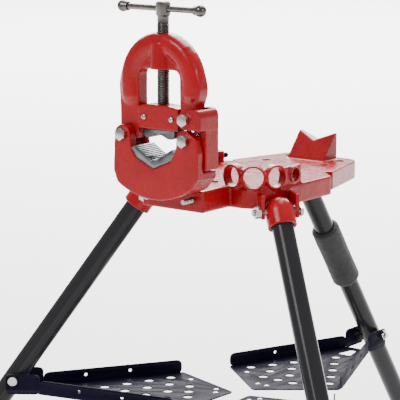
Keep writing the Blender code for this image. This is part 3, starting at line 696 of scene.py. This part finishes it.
def screw_and_handle():
    base = Vector((0, VISE_Y, 0))
    low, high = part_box("vise_screw")
    hub_low = high.z - 0.021
    profile = [(0, 0), (0, 0.0088), (0.0105, 0.0088), (0.0118, 0.011), (0.0315, 0.011), (0.0315, 0)]
    hub = lathe("hub", softened(profile, 0.0011), base + UP * (hub_low - 0.0105), UP, 56)
    centre = Vector((0, VISE_Y, high.z - 0.010))
    hole = lathe("hole", rod_profile(0.05, 0.0050), centre - HANDLE_AXIS * 0.025, HANDLE_AXIS, 32)
    boolean(hub, hole, "DIFFERENCE")
    thread_low = low.z + 0.018
    swivel = lathe("swivel", softened(rod_profile(0.0179, 0.0058), 0.0006), base + UP * low.z, UP, 40)
    thread = threaded("thread", base + UP * thread_low, UP, hub_low - 0.0106 - thread_low,
                      *VISE_SCREW_THREAD, per_turn=40, starts=2)
    put(merged("vise_screw_steel", [hub, swivel, thread]), "vise_screw")
    bar_low, bar_high = span("handle_bar", centre, HANDLE_AXIS)
    profile = [(bar_low, 0), (bar_low, HANDLE_RADIUS), (bar_high, HANDLE_RADIUS), (bar_high, 0)]
    put(lathe("handle_bar_steel", softened(profile, 0.0006), centre, HANDLE_AXIS, 40), "handle_bar")
    middle = (bar_low + bar_high) / 2
    for side, name in ((-1, "left"), (1, "right")):
        at = centre + HANDLE_AXIS * (middle + side * BALL_REACH)
        profile = [(-0.0060, 0.0), (-0.0060, 0.0051), (-0.0108, 0.0051), (-0.0108, 0.0066), (-0.0096, 0.0072)]
        for degrees in range(55, 178, 8):
            turn = math.radians(degrees)
            profile.append((-BALL_RADIUS * math.cos(turn), BALL_RADIUS * math.sin(turn)))
        profile.append((0.00905, 0.0))
        node = f"handle_ball_{name}"
        put(lathe(node + "_steel", profile, at, HANDLE_AXIS * side, 48), node)


# ---------------------------------------------------------------- legs
def legs():
    for leg in LEGS:
        pivot = Vector(JOINTS[f"leg_fold_{leg}"]["pos_m"])
        pin = Vector(JOINTS[f"leaf_fold_{leg}"]["pos_m"])
        down = (pin - pivot).normalized()
        start, end = span(f"leg_tube_{leg}", pivot, down)
        soft = 0.0007
        profile = [(start, TUBE_INNER), (start, TUBE_OUTER - soft), (start + soft, TUBE_OUTER),
                   (end - soft, TUBE_OUTER), (end, TUBE_OUTER - soft), (end, TUBE_INNER)]
        tube = lathe(f"leg_tube_{leg}_enamel", profile, pivot, down, 96, closed=True)
        across = Vector(JOINTS[f"leg_fold_{leg}"]["axis"])
        bore = lathe("bore", rod_profile(0.08, 0.0043), pin - across * 0.04, across, 24)
        put(boolean(tube, bore, "DIFFERENCE"), f"leg_tube_{leg}")
        foot_piece(leg, pivot, down)
    grip()


def foot_piece(leg, pivot, down):
    """Ribbed rubber foot with a level sole."""
    node = f"foot_{leg}"
    start, end = span(node, pivot, down)
    tube_end = span(f"leg_tube_{leg}", pivot, down)[1]
    profile = [(start, 0.0172), (start, 0.0190), (start + 0.001, 0.0198)]
    length = end + 0.004 - start
    for k in range(FOOT_RIBS):
        at = start + 0.006 + k * FOOT_RIB_STEP
        radius = 0.0199 + 0.0022 * (at - start) / length
        profile += [(at, radius), (at + 0.0008, radius - 0.0009),
                    (at + 0.0024, radius - 0.0009), (at + 0.0032, radius)]
    profile += [(end + 0.004, 0.0221), (end + 0.004, 0.0),
                (tube_end + 0.0005, 0.0), (tube_end + 0.0005, 0.0172)]
    foot = lathe(node + "_rubber", profile, pivot, down, 64, closed=True)
    ground = bmesh.new()
    spot = pivot + down * end
    place = Matrix.Translation((spot.x, spot.y, -0.05)) @ Matrix.Diagonal((0.2, 0.2, 0.1, 1))
    bmesh.ops.create_cube(ground, size=1.0, matrix=place)
    put(boolean(foot, object_from(ground, "ground"), "DIFFERENCE"), node)


def grip():
    """Foam sleeve with rounded ends and a slightly uneven skin."""
    pivot = Vector(JOINTS["leg_fold_rear"]["pos_m"])
    down = (Vector(JOINTS["leaf_fold_rear"]["pos_m"]) - pivot).normalized()
    start, end = span("foam_grip", pivot, down)
    bore, skin, lip, roll, steps = 0.0171, 0.0236, 0.0012, 0.0055, 60
    profile = [(start + lip, bore), (start, bore + lip)]
    for k in range(steps + 1):
        t = k / steps
        at = start + (end - start) * t
        edge = min(t, 1 - t) * (end - start)
        drop = roll - math.sqrt(max(0.0, roll ** 2 - (roll - min(edge, roll)) ** 2))
        profile.append((at, skin - drop + 0.0002 * math.sin(9 * t)))
    profile += [(end, bore + lip), (end - lip, bore)]
    sleeve = lathe("foam_grip_sleeve", profile, pivot, down, 96, closed=True)
    for vertex in sleeve.data.vertices:
        offset = vertex.co - pivot
        radial = offset - down * offset.dot(down)
        if radial.length > bore + 0.002:
            bumps = noise.noise(vertex.co * 130.0) * 0.00030 + noise.noise(vertex.co * 420.0) * 0.00018
            vertex.co += radial.normalized() * bumps
    sleeve.data.shade_smooth()
    put(sleeve, "foam_grip")


# ---------------------------------------------------------------- folding tray
def leaf_place(leg):
    """Matrix from (inward, across, up) at the leaf's pin to the world."""
    pin = Vector(JOINTS[f"leaf_fold_{leg}"]["pos_m"])
    across = Vector(JOINTS[f"leaf_fold_{leg}"]["axis"])
    outward = across.cross(UP)
    inward = -outward
    return Matrix.Translation(pin) @ Matrix((inward, -across, UP)).transposed().to_4x4()


def leaf_holes():
    holes = []
    for reach, count in ((0.110, 1), (0.145, 2), (0.180, 3), (0.215, 4), (0.250, 5)):
        for k in range(count):
            holes.append(circle(reach, (k - (count - 1) / 2) * HOLE_STEP, HOLE_RADIUS))
    holes += [circle(0.284, offset, HOLE_RADIUS) for offset in (-0.030, 0.0, 0.030)]
    holes.append(rounded([(0.052, -0.006), (0.088, -0.014), (0.088, 0.014), (0.052, 0.006)], 0.004))
    return holes


def leaf_side(place, side, widest):
    """The ear beside the leg and the flange beyond it, on one side of a leaf."""
    corner = Vector((LEAF_START - 0.052, side * LEAF_NECK, 0))
    bend = Vector((LEAF_START + 0.004, side * LEAF_NECK, 0))
    far = Vector((widest - 0.002, side * LEAF_HALF, 0))
    run = (far - bend).length
    ear = rounded([(0.0, 0.0), (0.056, 0.0), (0.056, 0.033), (0.0, 0.033)], 0.009)
    wall = rounded([(0.0, 0.0), (run, 0.0), (run, 0.0235), (0.0, 0.0235)], 0.010)
    wall[:6] = [(0.0001 * k, 0.0) for k in range(6)]    # this corner stays square
    ear_holes = [circle(-corner.x, -LEAF_FLOOR + SHEET / 2, 0.0044, 16)]
    wall_holes = [circle(run * t, 0.0135, 0.0028, 12) for t in (0.30, 0.62)]
    pieces = []
    for name, origin, outlines, towards in (("ear", corner, [ear] + ear_holes, Vector((1, 0, 0))),
                                            ("wall", bend, [wall] + wall_holes, (far - bend).normalized())):
        axes = Matrix((towards, UP, towards.cross(UP))).transposed().to_4x4()
        spot = place @ Matrix.Translation(origin + Vector((0, 0, LEAF_FLOOR - SHEET / 2))) @ axes
        pieces.append(flat_plate(name, outlines, SHEET, spot))
    return pieces


def tray(leg):
    place = leaf_place(leg)
    widest = LEAF_TIP - 0.112 / math.tan(LEAF_POINT)
    outline = [(LEAF_START, -LEAF_NECK), (widest, -LEAF_HALF), (LEAF_TIP, 0.0),
               (widest, LEAF_HALF), (LEAF_START, LEAF_NECK)]
    level = place @ Matrix.Translation((0, 0, LEAF_FLOOR))
    pieces = [flat_plate("floor", [rounded(outline, 0.006)] + leaf_holes(), SHEET, level)]
    for side in (-1, 1):
        pieces += leaf_side(place, side, widest)
    put(merged(f"tray_leaf_{leg}_sheet", pieces), f"tray_leaf_{leg}")
    rivets = []
    profile = [(0, 0), (0, 0.0045), (0.0012, 0.0042), (0.0022, 0.0028), (0.0026, 0)]
    for reach, offset in ((0.328, 0.009), (0.328, -0.009), (0.284, 0.064), (0.284, -0.064)):
        at = place @ Vector((reach, offset, LEAF_FLOOR + SHEET / 2 - 0.0002))
        rivets.append(lathe("rivet", profile, at, UP, 24))
    put(merged(f"tray_rivets_{leg}", rivets), body=f"leaf_{leg}", slot="zinc")


def leaf_hardware(leg):
    place = leaf_place(leg)
    across = place.to_3x3() @ Vector((0, 1, 0))
    centre = place.translation
    node = f"leaf_pin_{leg}"
    least, most = span(node, centre, across)
    profile = [(least, 0), (least, PIN_HEAD_RADIUS), (least + 0.003, PIN_HEAD_RADIUS),
               (least + 0.003, PIN_RADIUS), (most, PIN_RADIUS), (most, 0)]
    put(lathe(node + "_zinc", softened(profile, 0.0006), centre, across, 40), node)
    node = f"pin_retainer_{leg}"
    least, most = span(node, centre, across)
    star = []
    for i in range(48):
        turn = 2 * math.pi * i / 48
        radius = 0.0070 + 0.0016 * math.cos(4 * turn)
        star.append((radius * math.cos(turn), radius * math.sin(turn)))
    middle = centre + across * (least + most) / 2
    outlines = [star, circle(0, 0, 0.0043, 24)]
    put(flat_plate(node + "_zinc", outlines, most - least, axes_at(middle, across), 0.0006), node)


# ---------------------------------------------------------------- stage
def area_light(name, place, size, power):
    light = bpy.data.lights.new(name, "AREA")
    light.energy = power
    light.size = size
    lamp = bpy.data.objects.new(name, light)
    lamp.location = place
    bpy.context.scene.collection.objects.link(lamp)
    return lamp


def stage():
    """Pale floor, even white surroundings, four soft lamps and one broad lamp over the floor behind."""
    bm = bmesh.new()
    bmesh.ops.create_grid(bm, x_segments=2, y_segments=2, size=30.0)
    floor = object_from(bm, "floor")
    material, _, shader = new_material("pale_floor")
    shader.inputs["Base Color"].default_value = (0.93, 0.93, 0.92, 1)
    shader.inputs["Roughness"].default_value = 0.9
    floor.data.materials.append(material)
    floor.location.z = -FLOOR_DROP
    world = bpy.data.worlds.new("studio")
    bpy.context.scene.world = world
    world.use_nodes = True
    background = world.node_tree.nodes["Background"]
    background.inputs["Color"].default_value = (1.0, 1.0, 1.0, 1)
    background.inputs["Strength"].default_value = WORLD_STRENGTH
    area_light("sweep", (-5.5, 7.5, 6.0), 12.0, 5600.0)
    target = Vector((0, -0.15, 0.75))
    for name, place, size, power, tint in (("key", (-0.4, -2.9, 3.0), 1.3, 75.0, (1, 1, 1)),
                                           ("side", (3.0, -0.4, 2.0), 0.9, 26.0, (0.90, 0.94, 1.0)),
                                           ("back", (-2.2, 2.4, 2.6), 1.2, 30.0, (1, 1, 1)),
                                           ("top", (0.3, 0.2, 3.6), 1.1, 34.0, (1, 1, 1))):
        lamp = area_light(name, place, size, power)
        lamp.data.color = tint
        lamp.rotation_euler = (target - Vector(place)).to_track_quat("-Z", "Y").to_euler()


def camera():
    """Long lens, from the front right and a little above, aimed at the table."""
    level = math.cos(CAMERA_PITCH)
    forward = Vector((-math.sin(CAMERA_AZIMUTH) * level, math.cos(CAMERA_AZIMUTH) * level,
                      -math.sin(CAMERA_PITCH)))
    data = bpy.data.cameras.new("camera")
    data.lens = CAMERA_LENS
    data.sensor_width = 36.0
    data.clip_end = 200.0
    obj = bpy.data.objects.new("camera", data)
    obj.location = CAMERA_PLACE
    obj.rotation_euler = forward.to_track_quat("-Z", "Y").to_euler()
    bpy.context.scene.collection.objects.link(obj)
    bpy.context.scene.camera = obj


stage()
camera()
castings()
toothed_jaw("lower_jaw")
toothed_jaw("upper_jaw")
bolts()
slotted_screws()
screw_and_handle()
legs()
for name in LEGS:
    tray(name)
    leaf_hardware(name)
